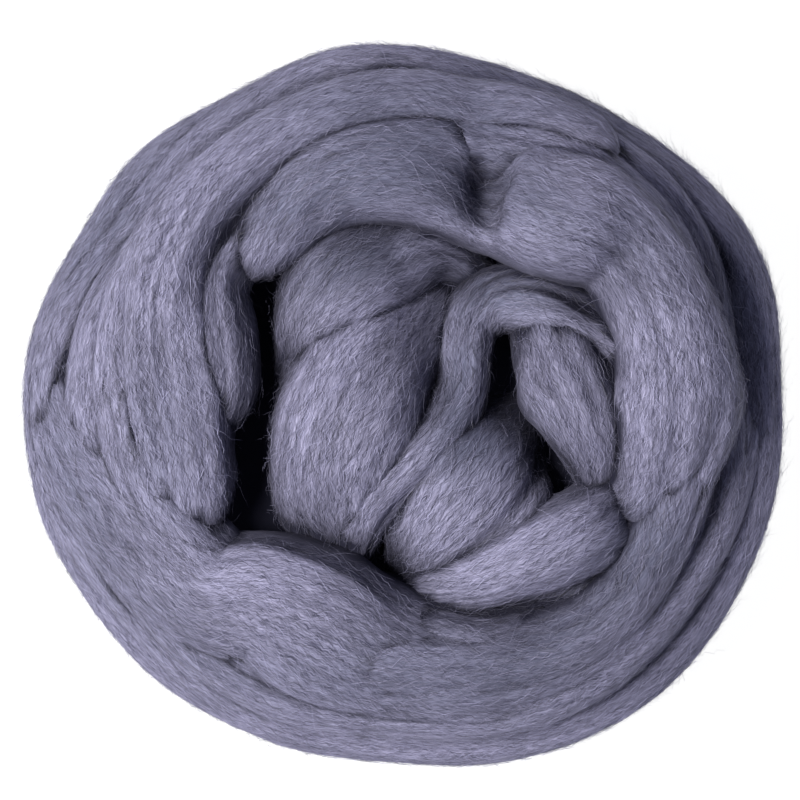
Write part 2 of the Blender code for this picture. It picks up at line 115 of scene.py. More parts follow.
# Ribbons and folds on the upper face, from the lowest to the last laid. Each row is one
# section of the lay: its middle, its half width and its half thickness.
LAY_COLUMNS = ("x", "y", "z", "half_width", "half_thick")
LAYS = {
    "left_ribbon": (
        (60, 72, 69, 6, 7),
        (42, 80, 73, 7, 8),
        (21, 84, 76, 8, 8),
        (-1, 86, 78, 8, 9),
        (-22, 81, 82, 8, 10),
        (-42, 69, 85, 9, 11),
        (-58, 51, 86, 11, 12),
        (-66, 34, 86, 14, 12),
        (-68, 17, 84, 16, 12),
        (-66, 1, 82, 17, 12),
        (-62, -13, 81, 15, 12),
        (-59, -24, 77, 13, 11),
        (-56, -34, 70, 9, 9),
    ),
    "left_strand": (
        (20, 76, 64, 5, 7),
        (-1, 76, 66, 6, 8),
        (-20, 70, 67, 7, 8),
        (-37, 58, 72, 8, 9),
        (-48, 46, 77, 9, 9),
        (-53, 34, 81, 10, 10),
        (-53, 24, 82, 12, 11),
        (-52, 14, 82, 12, 11),
        (-52, 6, 80, 12, 10),
        (-54, -1, 76, 9, 8),
        (-55, -7, 70, 6, 7),
    ),
    "front_sweep": (
        (-90, 48, 38, 3, 4),
        (-94, 31, 46, 5, 6),
        (-95, 14, 56, 8, 8),
        (-91, -4, 65, 12, 11),
        (-82, -21, 71, 15, 12),
        (-67, -40, 75, 16, 12),
        (-53, -52, 77, 16, 12),
        (-38, -55, 78, 20, 13),
        (-25, -61, 78, 23, 13),
        (0, -72, 72, 19, 12),
        (27, -77, 69, 15, 11),
        (52, -69, 66, 13, 11),
        (73, -54, 63, 11, 10),
        (88, -32, 60, 9, 9),
        (94, -10, 56, 7, 8),
        (96, 6, 50, 5, 6),
    ),
    "front_strand": (
        (-20, -54, 56, 6, 7),
        (-8, -59, 65, 10, 9),
        (6, -65, 71, 13, 11),
        (22, -69, 72, 14, 11),
        (42, -66, 69, 13, 10),
        (62, -58, 64, 10, 10),
        (77, -45, 61, 9, 10),
        (88, -25, 59, 8, 9),
        (92, -4, 56, 6, 8),
    ),
    "lower_lobe": (
        (36, 9, 43, 7, 9),
        (31, -1, 51, 10, 12),
        (26, -12, 61, 16, 14),
        (20, -24, 73, 23, 15),
        (11, -34, 71, 17, 12),
        (4, -40, 62, 9, 8),
        (-1, -43, 54, 6, 6),
    ),
    "middle_lobe": (
        (16, 37, 54, 7, 8),
        (9, 29, 60, 10, 10),
        (0, 19, 70, 14, 13),
        (-10, 7, 79, 19, 17),
        (-16, -5, 82, 20, 17),
        (-19, -15, 79, 18, 15),
        (-20, -24, 74, 16, 12),
        (-19, -31, 68, 13, 9),
        (-18, -37, 60, 10, 7),
        (-17, -41, 53, 8, 6),
    ),
    "small_lobe": (
        (37, 28, 62, 8, 9),
        (42, 19, 72, 11, 11),
        (47, 9, 78, 15, 12),
        (51, -2, 79, 13, 11),
        (53, -12, 74, 9, 9),
        (53, -22, 66, 4, 6),
    ),
    "left_tongue": (
        (-32, 7, 61, 3, 5),
        (-28, 16, 71, 6, 8),
        (-24, 26, 79, 11, 11),
        (-16, 35, 80, 14, 12),
        (-3, 41, 72, 14, 12),
        (10, 45, 66, 12, 10),
        (21, 41, 62, 9, 8),
        (27, 33, 58, 6, 7),
    ),
    "middle_strand": (
        (75, 6, 65, 6, 7),
        (67, 12, 72, 8, 8),
        (59, 20, 75, 9, 9),
        (48, 27, 75, 10, 10),
        (36, 31, 73, 9, 9),
        (26, 30, 70, 8, 8),
        (20, 24, 69, 7, 8),
        (18, 15, 71, 7, 8),
        (17, 5, 75, 7, 8),
        (12, -4, 79, 7, 8),
        (5, -12, 82, 7, 8),
        (-3, -20, 81, 6, 8),
        (-9, -28, 77, 6, 7),
        (-12, -36, 70, 5, 6),
        (-14, -42, 62, 4, 5),
    ),
    "front_loop": (
        (72, -16, 55, 7, 8),
        (64, -26, 66, 9, 9),
        (52, -34, 76, 11, 10),
        (37, -42, 79, 10, 10),
        (22, -48, 76, 7, 8),
        (9, -49, 68, 5, 6),
        (2, -49, 62, 3, 4),
    ),
    "top_ribbon": (
        (-38, 40, 70, 6, 8),
        (-37, 47, 80, 10, 10),
        (-28, 58, 83, 12, 12),
        (-17, 64, 85, 12, 12),
        (-2, 66, 85, 13, 12),
        (11, 65, 82, 14, 12),
        (23, 61, 77, 15, 11),
        (33, 58, 78, 16, 12),
        (43, 55, 85, 17, 13),
        (53, 52, 86, 17, 14),
        (63, 46, 85, 15, 13),
        (72, 31, 86, 15, 14),
        (77, 16, 86, 16, 14),
        (78, 1, 85, 18, 14),
        (74, -15, 77, 14, 12),
        (66, -29, 67, 11, 11),
        (54, -41, 68, 9, 10),
        (39, -50, 68, 8, 9),
        (22, -55, 66, 6, 7),
    ),
}

# Main creases, soft troughs along the outer face of a lay. Shares run from 0 to 1 along
# the lay, and sides from -1 to 1 across it.
CREASE_COLUMNS = ("lay", "start", "end", "side_at_start", "side_at_end", "depth", "half_width")
CREASES = (
    ("left_ribbon", 0.30, 0.95, -0.45, -0.40, 1.6, 1.8),
    ("left_ribbon", 0.50, 1.00, -0.15, -0.05, 1.6, 1.6),
    ("left_ribbon", 0.62, 1.00, 0.45, 0.30, 2.4, 1.6),
    ("left_ribbon", 0.66, 0.98, 0.78, 0.60, 2.4, 1.8),
    ("front_sweep", 0.02, 0.45, 0.20, -0.30, 1.2, 2.8),
    ("front_sweep", 0.50, 0.98, 0.60, 0.35, 2.0, 2.6),
    ("front_strand", 0.15, 0.80, -0.10, 0.20, 1.8, 2.6),
    ("lower_lobe", 0.15, 0.80, -0.55, -0.35, 2.4, 2.6),
    ("middle_lobe", 0.45, 1.00, 0.50, 0.35, 2.2, 2.0),
    ("middle_lobe", 0.30, 0.90, 0.75, 0.65, 2.0, 1.8),
    ("small_lobe", 0.02, 0.55, -0.60, -0.70, 3.0, 1.8),
    ("middle_strand", 0.10, 0.35, 0.10, 0.20, 1.6, 2.0),
    ("top_ribbon", 0.50, 0.80, 0.65, 0.20, 1.8, 3.0),
    ("top_ribbon", 0.62, 0.95, -0.45, 0.10, 2.6, 2.8),
)

# Soft spots at a place seen from above, each of an amount in its middle.
SPOT_COLUMNS = ("x", "y", "half_length", "half_width", "bearing", "amount")

# Dents where a ribbon is folded or pressed in, with their depth.
DENTS = (
    (24, 58, 20, 8, -80, 11.0),
    (12, 56, 15, 9, -80, 3.5),
    (38, -62, 12, 8, 20, 4.0),
    (60, -29, 9, 5, -40, 4.0),
    (38, -58, 9, 6, 95, 4.5),
    (58, 37, 12, 9, 60, 4.5),
    (-19, 51, 3, 3, 0, 7.0),
    (-31, 56, 9, 5, 120, 2.0),
)

# Where the dye runs from violet to slate, and where the darker slate is painted shade on
# wool that lies in shade, with the share of slate.
SLATE_AND_SHADE_SPOTS = (
    (6, 84, 60, 12, 0, 0.8),
    (-82, 52, 34, 11, 55, 0.9),
    (-90, -22, 34, 10, -70, 0.8),
    (-20, 60, 30, 11, 20, 1.2),
    (-12, 40, 18, 9, 20, 1.0),
    (4, -74, 46, 15, 0, 0.9),
    (69, -37, 18, 12, 45, 1.0),
    (-60, -64, 26, 12, -40, 0.5),
    (30, 32, 18, 9, -10, 1.0),
    (17, 8, 18, 6, 80, 1.0),
    (22, -10, 14, 9, 20, 1.0),
    (38, 58, 20, 10, -50, 0.8),
    (14, 60, 18, 9, -25, 0.8),
    (48, -60, 26, 8, 35, 0.7),
    (66, 46, 16, 12, -35, 0.6),
    (-66, -8, 32, 12, 95, 0.6),
    (95, 20, 34, 7, 90, 1.0),
)

# How finely the lays are swept.
WINDING_STEP = 4.0
WINDING_SIDES = 36
LAY_STEP = 2.0
LAY_SIDES = 52
FACE_DENSITY = 0.55  # how much closer the points lie on the outer face
SECTION_SQUARENESS = 2.2
END_LENGTH = 1.3  # of a rounded end, as a multiple of the half thickness
SMALLEST_SECTION = 0.03
FACE_LEAN = 0.7  # how far the lays on top lean outward with the ball
UNDERSIDE = 1.7  # how much deeper than its upper side a lay reaches down
CREASE_FADE = 0.7  # below one, a crease keeps its depth to near its ends

# Bundles of fibre along every lay: their width, their length and how deep they part.
BUNDLE_COLUMNS = ("width", "length", "depth")
BUNDLES = (
    (9.0, 110.0, 1.6),
    (4.5, 70.0, 1.2),
    (2.2, 40.0, 0.5),
)
BUNDLE_SOFTNESS = 0.04
BUNDLE_MIDDLE = 0.75  # the share of a bundle's depth that lies below the plain lay
BUNDLE_DRIFT = 3.5
BUNDLE_DRIFT_LENGTH = 60.0
BUNDLE_DRIFT_WIDTH = 14.0
BUNDLE_STRENGTH = {"winding": 1.0, "left_ribbon": 0.75, "front_sweep": 0.85}
PLAIN_STRENGTH = 0.7

# Soft lumps where a lay bulges or sinks.
LUMP_LENGTH = 34.0
LUMP_WIDTH = 16.0
LUMP_HEIGHT = 1.4

# The bundles and lumps are full above a section's middle and fade to none below it.
RELIEF_STEEPNESS = 2.0
RELIEF_START = -0.5

# How far a turn may stand out of the outline, and the room left below the outline for the
# bundles on it.
MOST_PROUD = 0.8
RELIEF_ROOM = 0.2

# How far the winding strays from its even path, in millimetres outward and in degrees up
# and down, how much wider or narrower it gets, and over what length.
WANDER = 1.6
WIDTH_WANDER = 0.18
WANDER_LENGTH = 80.0

# How far lays that lie side by side draw each other up, and from how far off.
MERGE_LIFT = 1.6
MERGE_REACH = 8.0

# How near other lays are, and how open a place is to the light, is found on a coarser grid:
# at every so many rings of a lay, and every so many sides of a ring.
MERGE_RING_STRIDE = 2
OPEN_RING_STRIDE = 3
SIDE_STRIDE = 2

# A place on a grid stays this far below the count of its rings, inside the last cell.
GRID_MARGIN = 1.001

# How open a place is to the light: rays from it that meet no wool within a reach.
OPEN_RAYS = 20
OPEN_REACH = 45.0
RAY_START = 0.4  # how far off the wool a ray starts
STEEP = 0.8  # how far up or down a direction points when it counts as steep

# The share of the light that reaches the grooves between the bundles, by their height,
# painted into the wool's colour as shade.
GROOVE_HEIGHTS = (-1.3, -0.2)
GROOVE_LIGHT = (0.72, 1.0)

# Wool in a crevice is shaded by the fibres about it, and that shade is painted into its
# colour. Below the dark openness it keeps only the painted crevice shade, and above the
# bright one its own colour.
DARK_OPENNESS = 0.27
BRIGHT_OPENNESS = 0.80
DARKEST = 0.05

# The wool's colours.
DARK_FIBRE = (0.055, 0.054, 0.090, 1.0)
PALE_FIBRE = (0.385, 0.372, 0.525, 1.0)
# Slate is partly the dye's own colour and partly painted shade.
SLATE_AND_SHADED_FIBRE = (0.185, 0.193, 0.280, 1.0)
# Painted shade: the near-black colour of the wool deep in a crevice.
CREVICE_PAINTED_SHADE = (0.010, 0.010, 0.022, 1.0)
SHEEN_TINT = (0.72, 0.70, 1.0, 1.0)
WOOL_SURFACE = {
    "Roughness": 0.85,
    "Sheen Weight": 0.09,
    "Sheen Roughness": 0.5,
    "Sheen Tint": SHEEN_TINT,
    "Specular IOR Level": 0.2,
}

# The wool's streaks on the fibre map, which has a hundred millimetres to a unit: features
# a unit along and across the fibre, distortion and weight. They are dark below the low
# value and pale above the high one.
FIBRE_MAP_SCALE = 0.01
STREAK_COLUMNS = ("along", "across", "distortion", "weight")
STREAKS = (
    (5.0, 90.0, 0.1, 0.30),
    (28.0, 500.0, 0.3, 0.70),
)
STREAK_DETAIL = 2.0
STREAK_LOW = 0.33
STREAK_HIGH = 0.67
STREAK_RELIEF = 0.5
STREAK_RELIEF_HEIGHT = 0.0006  # in metres

# The curl that pushes the streaks to and fro: its features a unit, and its reach in units.
CURL_SCALE = 60.0
CURL_DETAIL = 1.0
CURL_REACH = 0.008

# Fibres. Each row is a layer of them, laid over the lays. They stand off the wool by up to
# lift, bow up by up to arch, and lift their far ends by loose. They turn away from the lay's
# run by about spread, wave by crimp, and keep the share unshaded of their colour free of
# the painted crevice shade.
FIBRE_COLUMNS = (
    "name", "place", "count", "points", "length", "lift",
    "arch", "loose", "spread", "crimp", "width", "unshaded",
)
FIBRES = (
    ("combed_fibres_a", "face", 24000, 5, (2.5, 7.0), 0.10, 0.2, 0.00, 0.28, 0.18, 0.13, 0.0),
    ("combed_fibres_b", "face", 24000, 5, (2.5, 7.0), 0.15, 0.2, 0.02, 0.40, 0.20, 0.12, 0.1),
    ("raised_fibres", "face", 17000, 6, (4.0, 10.0), 0.20, 0.4, 0.06, 0.50, 0.35, 0.085, 0.35),
    ("stray_fibres", "face", 6000, 12, (5.0, 14.0), 0.20, 0.8, 0.20, 0.80, 0.50, 0.06, 0.5),
    ("fringe_fibres", "fringe", 7000, 6, (4.0, 9.0), 0.10, 0.6, 0.22, 0.80, 0.45, 0.06, 1.0),
)
OVERSAMPLE = 2.6  # fibres laid for each one kept, as many of them lie hidden
FRINGE_START = 0.955  # of the outline, where the fibres of the fringe begin

# Fewer fibres start low on a section, or low on the ball.
FACE_STEEPNESS = 3.0
FACE_START = -0.3
FIBRE_HEIGHTS = (10.0, 45.0, 70.0)
FIBRE_SHARES = (0.25, 0.6, 1.0)

# How the fibres of a layer vary, each between a low and a high share.
CRIMP_LENGTH = 2.6  # of one wave of the crimp
CRIMP_LENGTH_RANGE = (0.7, 1.5)
CRIMP_RANGE = (0.3, 1.6)
WIDTH_RANGE = (0.6, 1.3)
SHADE_RANGE = (0.12, 0.96)

# How one fibre is shaped.
RIPPLE = 0.6  # its waves off the wool, as a share of those sideways
ARCH_FLATNESS = 0.8
ROLL = 0.5  # how far it is turned about its length, in radians
TAPER_POWER = 3
TIP_WIDTH = 0.12  # as a share of its width in the middle

# Added to the gaps between a grid's points, so that none of them is nothing.
RING_GAP = 0.05
SIDE_GAP = 0.15

# A fibre is kept if nothing hides it outward or upward within these reaches.
SIGHT_START = 0.5
SIGHT_OUTWARD = 50.0
SIGHT_UPWARD = 60.0

# A fibre's place across its bake map is its shade, which holds painted crevice shade as well as its
# own tone.
SLATE_AND_SHADE_DARKENING = 0.3  # how much darker a fibre is where slate stands for dye and for painted shade
SHADE_LIMITS = (0.02, 0.98)
BAKE_ENDS = (0.02, 0.98)
BAKE_HALF_WIDTH = 0.004
DARKEST_SHADE = (0.006, 0.006, 0.010, 1.0)
PALEST_SHADE = (0.42, 0.41, 0.60, 1.0)
FIBRE_SURFACE = {
    "Roughness": 0.6,
    "Sheen Weight": 0.08,
    "Sheen Tint": SHEEN_TINT,
    "Specular IOR Level": 0.3,
}

# The studio, in metres and watts.
FLOOR_SIZE = 6.0
FLOOR_SURFACE = {
    "Base Color": (0.25, 0.25, 0.25, 1.0),
    "Roughness": 0.9,
    "Emission Color": (1.0, 1.0, 0.99, 1.0),
    "Emission Strength": 0.95,
}
KEY_PLACE = (-0.58, -0.07, 1.03)
KEY_SIZE = 0.5
KEY_POWER = 20.4
KEY_COLOUR = (1.0, 0.985, 0.96)
LIT_POINT = (0.0, 0.0, 0.05)
SKY_COLOUR = (0.85, 0.90, 1.15, 1.0)
SKY_STRENGTH = 0.23

# The camera looks straight down. The picture is as wide as the frame at the frame's level.
CAMERA_PLACE = (0.0, 0.0023, 0.90)
SENSOR_WIDTH = 36.0
FRAME_WIDTH = 0.2304
FRAME_LEVEL = 0.050


def outline_radius(bearing):
    """The ball's radius at its girth for each bearing in radians."""
    count = len(OUTLINE_RADII)
    waves = np.fft.rfft(OUTLINE_RADII) / count
    total = np.full(np.shape(bearing), waves[0].real)
    for order in range(1, len(waves)):
        share = 1.0 if 2 * order == count else 2.0
        total = total + share * (waves[order] * np.exp(1j * order * bearing)).real
    return total


def half_height(above_girth):
    """The ball's half height, which differs above and below its girth."""
    return np.where(above_girth, NEST_HEIGHT - GIRTH_HEIGHT, GIRTH_HEIGHT + BURIED)


def on_ball(bearing, latitude, inset):
    """Points that lie inset below the ball's skin, for bearings and latitudes in radians."""
    level = (outline_radius(bearing) - inset) * np.cos(latitude)
    rise = (half_height(latitude > 0) - inset) * np.sin(latitude)
    return np.column_stack([level * np.cos(bearing), level * np.sin(bearing), GIRTH_HEIGHT + rise])


def pressed_depth(bearing, latitude):
    """How far the winding is pressed in at bearings and latitudes in radians."""
    total = np.zeros(np.shape(bearing))
    for row in PRESSED:
        place = dict(zip(PRESSED_COLUMNS, np.radians(row)))
        turn = np.mod(bearing - place["bearing"] + math.pi, 2 * math.pi) - math.pi
        off = (turn / place["half_bearing"]) ** 2
        off += ((latitude - place["latitude"]) / place["half_latitude"]) ** 2
        total += row[PRESSED_COLUMNS.index("depth")] * np.exp(-off)
    return total


def unit(vectors):
    """The vectors, each brought to a length of one."""
    return vectors / np.maximum(np.linalg.norm(vectors, axis=-1, keepdims=True), TINY)


def above_floor(points):
    """The points, with none of them lower than just above the floor."""
    raised = points.copy()
    raised[..., 2] = np.maximum(points[..., 2], FLOOR_CLEARANCE)
    return raised


def outward(points):
    """The ball's outward direction at each point, which a lay's broad face follows."""
    radius = outline_radius(np.arctan2(points[:, 1], points[:, 0]))
    rise = points[:, 2] - GIRTH_HEIGHT
    height = half_height(rise > 0)
    return unit(
        np.column_stack([points[:, 0] / radius**2, points[:, 1] / radius**2, rise / height**2])
    )


def smooth_rows(rows, along, places):
    """Rows read at places from the smooth curve through the given rows."""
    slopes = np.gradient(rows, along, axis=0)
    first = np.clip(np.searchsorted(along, places, side="right") - 1, 0, len(along) - 2)
    gap = (along[first + 1] - along[first])[:, None]
    t = (places - along[first])[:, None] / gap
    return (
        (2 * t**3 - 3 * t**2 + 1) * rows[first]
        + (t**3 - 2 * t**2 + t) * gap * slopes[first]
        + (3 * t**2 - 2 * t**3) * rows[first + 1]
        + (t**3 - t**2) * gap * slopes[first + 1]
    )


def distance_along(points):
    """How far each point is from the first, measured along the line through them."""
    steps = np.linalg.norm(np.diff(points, axis=0), axis=1)
    return np.concatenate([[0.0], np.cumsum(steps)])


def lay_stations(rows, step):
    """Sections about step apart along a lay of the upper face."""
    rows = np.array(rows, float)
    along = distance_along(rows[:, :3])
    places = np.linspace(0.0, along[-1], math.ceil(along[-1] / step) + 1)
    return smooth_rows(rows, along, places)


def wander(along, rng):
    """Smooth noise from -1 to 1 along the winding."""
    return smooth_noise(along, np.zeros(len(along)), WANDER_LENGTH, 1.0, rng)


def winding_stations(step):
    """Sections about step apart along the winding, from the underside to the upper edge."""
    rows = np.array(TURNS, float)
    turn_numbers = np.arange(len(rows), dtype=float)
    girth = 2 * math.pi * max(OUTLINE_RADII)
    turn = np.linspace(0.0, turn_numbers[-1], math.ceil(girth * turn_numbers[-1] / step) + 1)
    size = dict(zip(TURN_COLUMNS, smooth_rows(rows, turn_numbers, turn).T))
    bearing = 2 * math.pi * turn
    lean = size["tilt"] * np.cos(bearing - np.radians(size["toward"]))
    latitude = np.radians(size["latitude"] + lean)
    rng = np.random.default_rng(SEED)
    proud = size["proud"] + WANDER * wander(girth * turn, rng)
    latitude = latitude + np.radians(WANDER) * wander(girth * turn, rng)
    wider = 1.0 + WIDTH_WANDER * wander(girth * turn, rng)
    inset = size["half_thick"] - np.minimum(proud, MOST_PROUD) + RELIEF_ROOM
    inset = inset + pressed_depth(bearing, latitude)
    middle = on_ball(bearing, latitude, inset)
    return np.column_stack([middle, size["half_width"] * wider, size["half_thick"]])


def column(stations, name):
    """One column of a lay's stations, upright, to spread over the sides of its sections."""
    return stations[:, LAY_COLUMNS.index(name)][:, None]


def rounded_ends(stations):
    """The share of its full section that each station keeps, so that the ends are round."""
    along = distance_along(stations[:, :3])[:, None]
    from_end = np.minimum(along, along[-1] - along)
    inside = from_end / (END_LENGTH * column(stations, "half_thick"))
    return np.sqrt(1.0 - (1.0 - np.clip(inside, SMALLEST_SECTION, 1.0)) ** 2)


def crease_depth(name, share, side, half_width):
    """How deep the lay's creases are at each station and each side of the section."""
    total = np.zeros(np.broadcast(share, side).shape)
    for row in CREASES:
        crease = dict(zip(CREASE_COLUMNS, row))
        if crease["lay"] != name:
            continue
        part = np.clip((share - crease["start"]) / (crease["end"] - crease["start"]), 0.0, 1.0)
        middle = crease["side_at_start"] + (crease["side_at_end"] - crease["side_at_start"]) * part
        off = (side - middle) * half_width / crease["half_width"]
        total += crease["depth"] * np.sin(math.pi * part) ** CREASE_FADE * np.exp(-(off**2))
    return total


def spots(points, rows):
    """The amount of the given soft spots at each point."""
    total = np.zeros(points.shape[:-1])
    for row in rows:
        spot = dict(zip(SPOT_COLUMNS, row))
        turn = math.radians(spot["bearing"])
        dx = points[..., 0] - spot["x"]
        dy = points[..., 1] - spot["y"]
        along = (dx * math.cos(turn) + dy * math.sin(turn)) / spot["half_length"]
        across = (dy * math.cos(turn) - dx * math.sin(turn)) / spot["half_width"]
        total += spot["amount"] * np.exp(-(along**2) - across**2)
    return total


def squared(wave):
    """Turns the cosine or sine of a circle into that of a slightly square oval."""
    return np.sign(wave) * np.abs(wave) ** (2.0 / SECTION_SQUARENESS)


def smooth_noise(u, v, length, width, rng):
    """Smooth noise from -1 to 1 that changes over length along u and over width along v."""
    along = (u - u.min()) / length
    across = (v - v.min()) / width
    lattice = rng.uniform(-1.0, 1.0, (int(along.max()) + 3, int(across.max()) + 3))
    i = along.astype(int)
    j = across.astype(int)
    a = along - i
    b = across - j
    a = a * a * (3 - 2 * a)
    b = b * b * (3 - 2 * b)
    near = lattice[i, j] * (1 - b) + lattice[i, j + 1] * b
    far = lattice[i + 1, j] * (1 - b) + lattice[i + 1, j + 1] * b
    return near * (1 - a) + far * a


def grid_normals(rings):
    """Outward normals of a swept lay at its points."""
    along = np.gradient(rings, axis=0)
    around = np.roll(rings, -1, axis=1) - np.roll(rings, 1, axis=1)
    return unit(np.cross(along, around))


def section_angles(sides):
    """Angles round a section, which lie closer together on its outer face."""
    part = np.arange(sides) / sides
    return -0.5 * math.pi + 2 * math.pi * part + FACE_DENSITY * np.sin(2 * math.pi * part)


def bundles(u, v, rng):
    """Height of the bundles of fibre: round-backed, parting in thin grooves."""
    drift = BUNDLE_DRIFT * smooth_noise(u, v, BUNDLE_DRIFT_LENGTH, BUNDLE_DRIFT_WIDTH, rng)
    total = np.zeros(u.shape)
    for row in BUNDLES:
        bundle = dict(zip(BUNDLE_COLUMNS, row))
        wave = smooth_noise(u, v + drift, bundle["length"], bundle["width"], rng)
        total += bundle["depth"] * (np.sqrt(np.abs(wave) + BUNDLE_SOFTNESS) - BUNDLE_MIDDLE)
    return total


def section_axes(name, middle):
    """The directions of each section: across the lay, and out of its broad face."""
    travel = unit(np.gradient(middle, axis=0))
    face = outward(middle)
    if name in LAYS:
        face = unit(face * (FACE_LEAN, FACE_LEAN, 1.0))
    face = unit(face - (face * travel).sum(1, keepdims=True) * travel)
    return np.cross(travel, face), face


def plain_rings(name, stations, angles):
    """A lay's rings of points with its creases and dents, but without its bundles."""
    edge, face = section_axes(name, stations[:, :3])
    side = squared(np.cos(angles))
    rise = squared(np.sin(angles))
    on_face = np.clip(rise, 0.0, 1.0)
    keep = rounded_ends(stations)
    share = np.linspace(0.0, 1.0, len(stations))[:, None]
    half_width = column(stations, "half_width")
    across = half_width * keep * side
    depth = column(stations, "half_thick") * keep * np.where(rise < 0, UNDERSIDE * rise, rise)
    depth -= on_face * crease_depth(name, share, side, half_width)
    rings = stations[:, None, :3] + across[..., None] * edge[:, None, :]
    if name in LAYS:
        depth -= on_face * spots(rings, DENTS)
    return rings + depth[..., None] * face[:, None, :]


def swept_lay(name, stations, sides, rng):
    """A lay: its rings of points and their normals, places along and across, the painted shade of
    its grooves, and its slate dye and painted shade.
    """
    angles = section_angles(sides)[None, :]
    rise = squared(np.sin(angles))
    rings = plain_rings(name, stations, angles)
    size = 0.5 * (column(stations, "half_width") + column(stations, "half_thick"))
    u = np.broadcast_to(distance_along(stations[:, :3])[:, None], rings.shape[:2])
    v = np.broadcast_to(angles * size.mean(), rings.shape[:2])
    relief = BUNDLE_STRENGTH.get(name, PLAIN_STRENGTH) * bundles(u, v, rng)
    relief += LUMP_HEIGHT * smooth_noise(u, v, LUMP_LENGTH, LUMP_WIDTH, rng)
    fade = np.clip(RELIEF_STEEPNESS * (rise - RELIEF_START), 0.0, 1.0)
    relief *= rounded_ends(stations) * size / size.mean() * fade
    rings = above_floor(rings + relief[..., None] * grid_normals(rings))
    return {
        "name": name,
        "rings": rings,
        "normals": grid_normals(rings),
        "u": u,
        "v": v,
        "rise": rise,
        "painted_groove_light": np.interp(relief, GROOVE_HEIGHTS, GROOVE_LIGHT),
        "slate_and_shade": np.clip(spots(rings, SLATE_AND_SHADE_SPOTS), 0.0, 1.0),
    }


def loft_faces(ring_count, sides):
    """Quads between neighbouring rings, with their corners in order."""
    ring = np.arange(ring_count - 1)[:, None] * sides
    here = np.arange(sides)[None, :]
    beside = (here + 1) % sides
    corners = [ring + here, ring + sides + here, ring + sides + beside, ring + beside]
    return np.stack(corners, axis=-1).reshape(-1, 4)


def rings_tree(many_rings):
    """One tree of the faces of several swept grids."""
    points = []
    faces = []
    start = 0
    for rings in many_rings:
        count, sides = rings.shape[:2]
        points.append(rings.reshape(-1, 3))
        faces.append(loft_faces(count, sides) + start)
        start += count * sides
    return BVHTree.FromPolygons(np.concatenate(points).tolist(), np.concatenate(faces).tolist())


def read_grid(values, ring, side):
    """Values of a lay's grid at fractional places, wrapping round the section."""
    count, sides = values.shape[:2]
    ring = np.clip(ring, 0.0, count - GRID_MARGIN)
    i = ring.astype(int)
    a = (ring - i)[..., None]
    side = np.mod(side, sides)
    j = np.floor(side).astype(int) % sides
    b = (side - np.floor(side))[..., None]
    k = (j + 1) % sides
    near = values[i, j] * (1 - b) + values[i, k] * b
    far = values[i + 1, j] * (1 - b) + values[i + 1, k] * b
    return near * (1 - a) + far * a


def segments(lays):
    """Every lay as a segment with its own tree, the winding in pieces of half a turn."""
    found = []
    for owner, lay in enumerate(lays):
        pieces = 2 * (len(TURNS) - 1) if lay["name"] == "winding" else 1
        cuts = np.linspace(0, len(lay["rings"]) - 1, pieces + 1).astype(int)
        for number, (first, last) in enumerate(zip(cuts[:-1], cuts[1:])):
            part = {"owner": owner, "number": number, "first": first, "last": last}
            part["tree"] = rings_tree([lay["rings"][first : last + 1]])
            found.append(part)
    return found


def nearness(points, others):
    """How near each point is to the other segments, from 0 at the reach to 1 on them."""
    near = np.zeros(len(points))
    for index, point in enumerate(points.tolist()):
        reach = MERGE_REACH
        for other in others:
            gap = other["tree"].find_nearest(point, reach)[3]
            if gap is not None:
                reach = min(reach, gap)
        near[index] = 1.0 - reach / MERGE_REACH
    return near


def lay_nearness(owner, lay, parts):
    """How near other lays, or other turns of the winding, are to each point of a lay."""
    count, sides = lay["rings"].shape[:2]
    some_sides = np.arange(0, sides, SIDE_STRIDE)
    near = np.zeros((count, len(some_sides), 1))
    for part in [p for p in parts if p["owner"] == owner]:
        others = [p for p in parts if p["owner"] != owner or abs(p["number"] - part["number"]) > 1]
        some_rings = np.arange(part["first"], part["last"], MERGE_RING_STRIDE)
        some_rings = np.unique(np.append(some_rings, part["last"]))
        points = lay["rings"][np.ix_(some_rings, some_sides)].reshape(-1, 3)
        found = nearness(points, others).reshape(len(some_rings), -1)
        every = np.arange(part["first"], part["last"] + 1)
        for place, values in enumerate(found.T):
            near[every, place, 0] = np.interp(every, some_rings, values)
    rings = np.arange(count, dtype=float)
    ring, side = np.meshgrid(rings, np.arange(sides) / SIDE_STRIDE, indexing="ij")
    return read_grid(near, ring, side)


def merge_lays(lays):
    """Raises each lay beside its neighbours, so that they run into each other softly."""
    parts = segments(lays)
    near = [lay_nearness(owner, lay, parts) for owner, lay in enumerate(lays)]
    for lay, share in zip(lays, near):
        lay["rings"] = above_floor(lay["rings"] + MERGE_LIFT * share**2 * lay["normals"])
        lay["normals"] = grid_normals(lay["rings"])


def ray_fan(count):
    """Unit directions spread over a half ball about +Z, closer together near its top."""
    part = (np.arange(count) + 0.5) / count
    turn = math.pi * (3.0 - math.sqrt(5.0)) * np.arange(count)
    level = np.sqrt(part)
    return np.column_stack([level * np.cos(turn), level * np.sin(turn), np.sqrt(1.0 - part)])


def openness(points, normals, tree):
    """The share of rays from each point that meet no wool within reach."""
    steep = np.abs(normals[:, 2:]) > STEEP
    helper = np.where(steep, [[1.0, 0.0, 0.0]], [[0.0, 0.0, 1.0]])
    first = unit(np.cross(helper, normals))
    second = np.cross(normals, first)
    free = np.zeros(len(points))
    starts = [Vector(p) for p in points + RAY_START * normals]
    for ray in ray_fan(OPEN_RAYS):
        ways = ray[0] * first + ray[1] * second + ray[2] * normals
        for index, (start, way) in enumerate(zip(starts, ways)):
            if tree.ray_cast(start, Vector(way), OPEN_REACH)[0] is None:
                free[index] += 1.0
    return free / OPEN_RAYS


